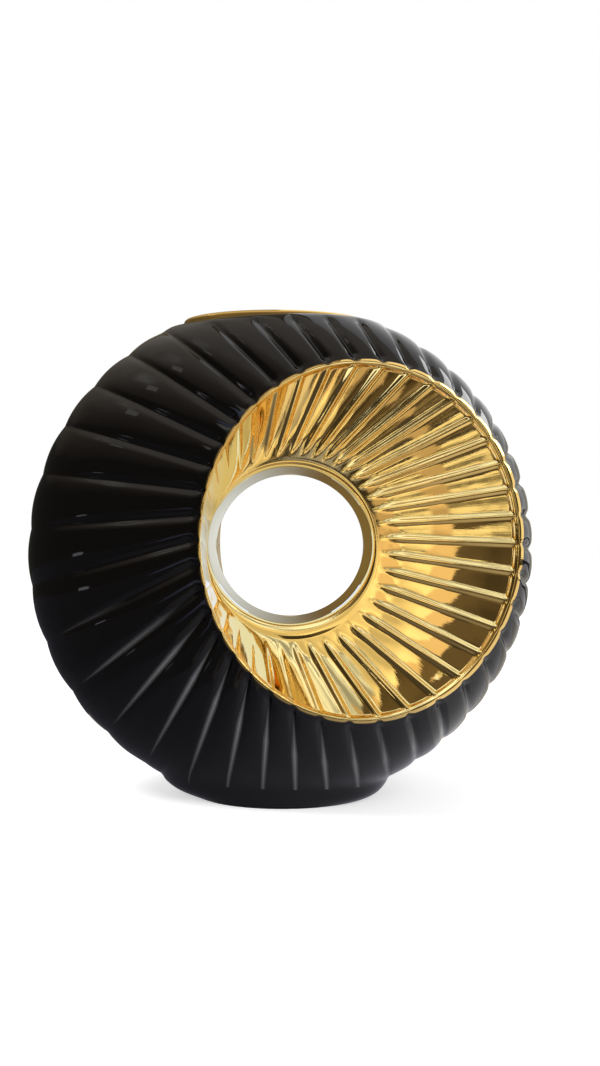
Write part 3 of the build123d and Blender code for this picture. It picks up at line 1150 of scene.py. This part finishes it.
def sheet(name, across, deep, height, material):
    """A level sheet at a height."""
    (left, right), (near, far) = across, deep
    corners = [(left, near, height), (right, near, height), (right, far, height), (left, far, height)]
    quad(name, corners, material)


def screen(name, across, up, depth, material):
    """An upright screen across the view."""
    (left, right), (low, high) = across, up
    corners = [(left, depth, low), (right, depth, low), (right, depth, high), (left, depth, high)]
    quad(name, corners, material)


def seen_directly(paint):
    """1 for rays that show the background: straight from the camera, in a mirror or through glass."""
    path = paint.node("ShaderNodeLightPath", {}, {}, "Is Camera Ray").socket.node
    straight, mirrored, through = "Is Camera Ray", "Is Glossy Ray", "Is Transmission Ray"
    rays = [Term(paint, path.outputs[name]) for name in (straight, mirrored, through)]
    return rays[0] + rays[1] + rays[2]


def pale_floor(colour):
    """A pale floor that shows white and keeps a soft shadow: diffuse, with a glow for rays that show it."""
    material = bpy.data.materials.new("pale_floor")
    paint = Paint(material)
    diffuse = paint.node("ShaderNodeBsdfDiffuse", {}, {"Color": opaque(colour)}, "BSDF")
    strength = seen_directly(paint) * 0.55
    glow = paint.node("ShaderNodeEmission", {}, {"Color": (1, 1, 1, 1), "Strength": strength})
    paint.surface(paint.node("ShaderNodeAddShader", {}, {0: diffuse, 1: glow}))
    return material


def white_world():
    """A plain world: white where it is seen, and softer as light."""
    world = bpy.data.worlds.new("studio")
    bpy.context.scene.world = world
    paint = Paint(world)
    strength = seen_directly(paint) * 0.4 + 0.6
    glow = paint.node("ShaderNodeBackground", {}, {"Color": (1, 1, 1, 1), "Strength": strength})
    paint.node("ShaderNodeOutputWorld", {}, {"Surface": glow})


def soft_lamp(name, place, size, watts):
    """A square area lamp that points at the vase's middle."""
    lamp = bpy.data.lights.new(name, "AREA")
    lamp.shape = "SQUARE"
    lamp.size = size
    lamp.energy = watts
    holder = bpy.data.objects.new(name, lamp)
    place = np.array(place)
    direction = np.array(MIDDLE) - place
    holder.location = place
    yaw = math.atan2(direction[1], direction[0]) - math.pi / 2
    pitch = math.atan2(direction[2], math.hypot(direction[0], direction[1])) + math.pi / 2
    holder.rotation_euler = (pitch, 0.0, yaw)
    bpy.context.scene.collection.objects.link(holder)


class VASE_OT_stage(bpy.types.Operator):
    """Sets up the floor, the world, the cards, the lamps and the camera"""

    bl_idname = "vase.stage"
    bl_label = "Stage"

    def execute(self, context):
        scene = context.scene
        stage = scene.vase_stage
        scene.view_settings.view_transform = "Standard"
        white_world()
        far = 6.0
        corners = [(-far, -far, 0), (far, -far, 0), (far, far, 0), (-far, far, 0)]
        stage_piece("floor", corners, [(0, 1, 2, 3)], pale_floor(stage.floor_colour), False)
        for maker, rows in ((sheet, SHEETS), (screen, SCREENS), (card, CARDS)):
            for name, *where, colour, mottle in rows:
                maker(name, *where, card_glow(name, colour, mottle))
        near_glow = cloth_glow("near_sheet", "X", 0.0, NEAR_STOPS)
        sheet("near_sheet", (-0.3, 0.1), (-0.14, 0.06), 9e-4, near_glow)
        tube_glow = cloth_glow("tube_screen", "X", 0.0, TUBE_STOPS)
        screen("tube_screen", (-0.031, 0.046), (0.088, 0.162), 0.021, tube_glow)
        tent("tent", -155, 60, 90, cloth_glow("tent", "Z", 0.2, TENT_STOPS))
        tent("wall_left", -180, -155, 90, card_glow("wall_left", (0.22, 0.18, 0.12), 0.0))
        tent("wall_right", 130, 180, 25, card_glow("wall_right", (0.47, 0.45, 0.38), 0.0))
        soft_lamp("key", (-0.88, -0.3, 1.3), 0.35, 8.0)
        soft_lamp("fill", (0.9, -0.7, 0.9), 0.7, 5.0)
        view = bpy.data.cameras.new("camera")
        view.lens = stage.lens
        view.sensor_width = 36.0
        view.sensor_fit = "AUTO"
        view.shift_x, view.shift_y = stage.shift
        view.clip_start = 0.01
        camera = bpy.data.objects.new("camera", view)
        camera.location = stage.camera_place
        camera.rotation_euler = (math.pi / 2, 0.0, 0.0)
        scene.collection.objects.link(camera)
        scene.camera = camera
        return {"FINISHED"}


class VASE_PT_panel(bpy.types.Panel):
    """Lists the vase's settings and the steps that build it"""

    bl_idname = "VASE_PT_panel"
    bl_label = "Ring Vase"
    bl_space_type = "VIEW_3D"
    bl_region_type = "UI"
    bl_category = "Ring Vase"

    def draw(self, context):
        layout = self.layout
        for name, group in SETTINGS.items():
            box = layout.box()
            box.label(text=group.__doc__)
            for field in group.__annotations__:
                box.prop(getattr(context.scene, name), field)
        for step in STEPS:
            layout.operator(step.bl_idname)


SETTINGS = {
    "vase_ring": RingSettings,
    "vase_funnel": FunnelSettings,
    "vase_mouth": MouthFootSettings,
    "vase_finish": FinishSettings,
    "vase_stage": StageSettings,
}
STEPS = (
    VASE_OT_stage,
    VASE_OT_shells,
    VASE_OT_funnels,
    VASE_OT_throat,
    VASE_OT_lip,
    VASE_OT_foot,
    VASE_OT_plate,
)


def register():
    """Registers the settings, the steps and the panel."""
    for name, group in SETTINGS.items():
        bpy.utils.register_class(group)
        setattr(bpy.types.Scene, name, bpy.props.PointerProperty(type=group))
    for step in STEPS:
        bpy.utils.register_class(step)
    bpy.utils.register_class(VASE_PT_panel)


def unregister():
    """Removes everything that register added."""
    bpy.utils.unregister_class(VASE_PT_panel)
    for step in reversed(STEPS):
        bpy.utils.unregister_class(step)
    for name, group in reversed(SETTINGS.items()):
        delattr(bpy.types.Scene, name)
        bpy.utils.unregister_class(group)


def main():
    """Builds the vase step by step."""
    register()
    bpy.ops.vase.stage()
    bpy.ops.vase.shells()
    bpy.ops.vase.funnels()
    bpy.ops.vase.throat()
    bpy.ops.vase.lip()
    bpy.ops.vase.foot()
    bpy.ops.vase.plate()


if __name__ == "__main__":
    main()
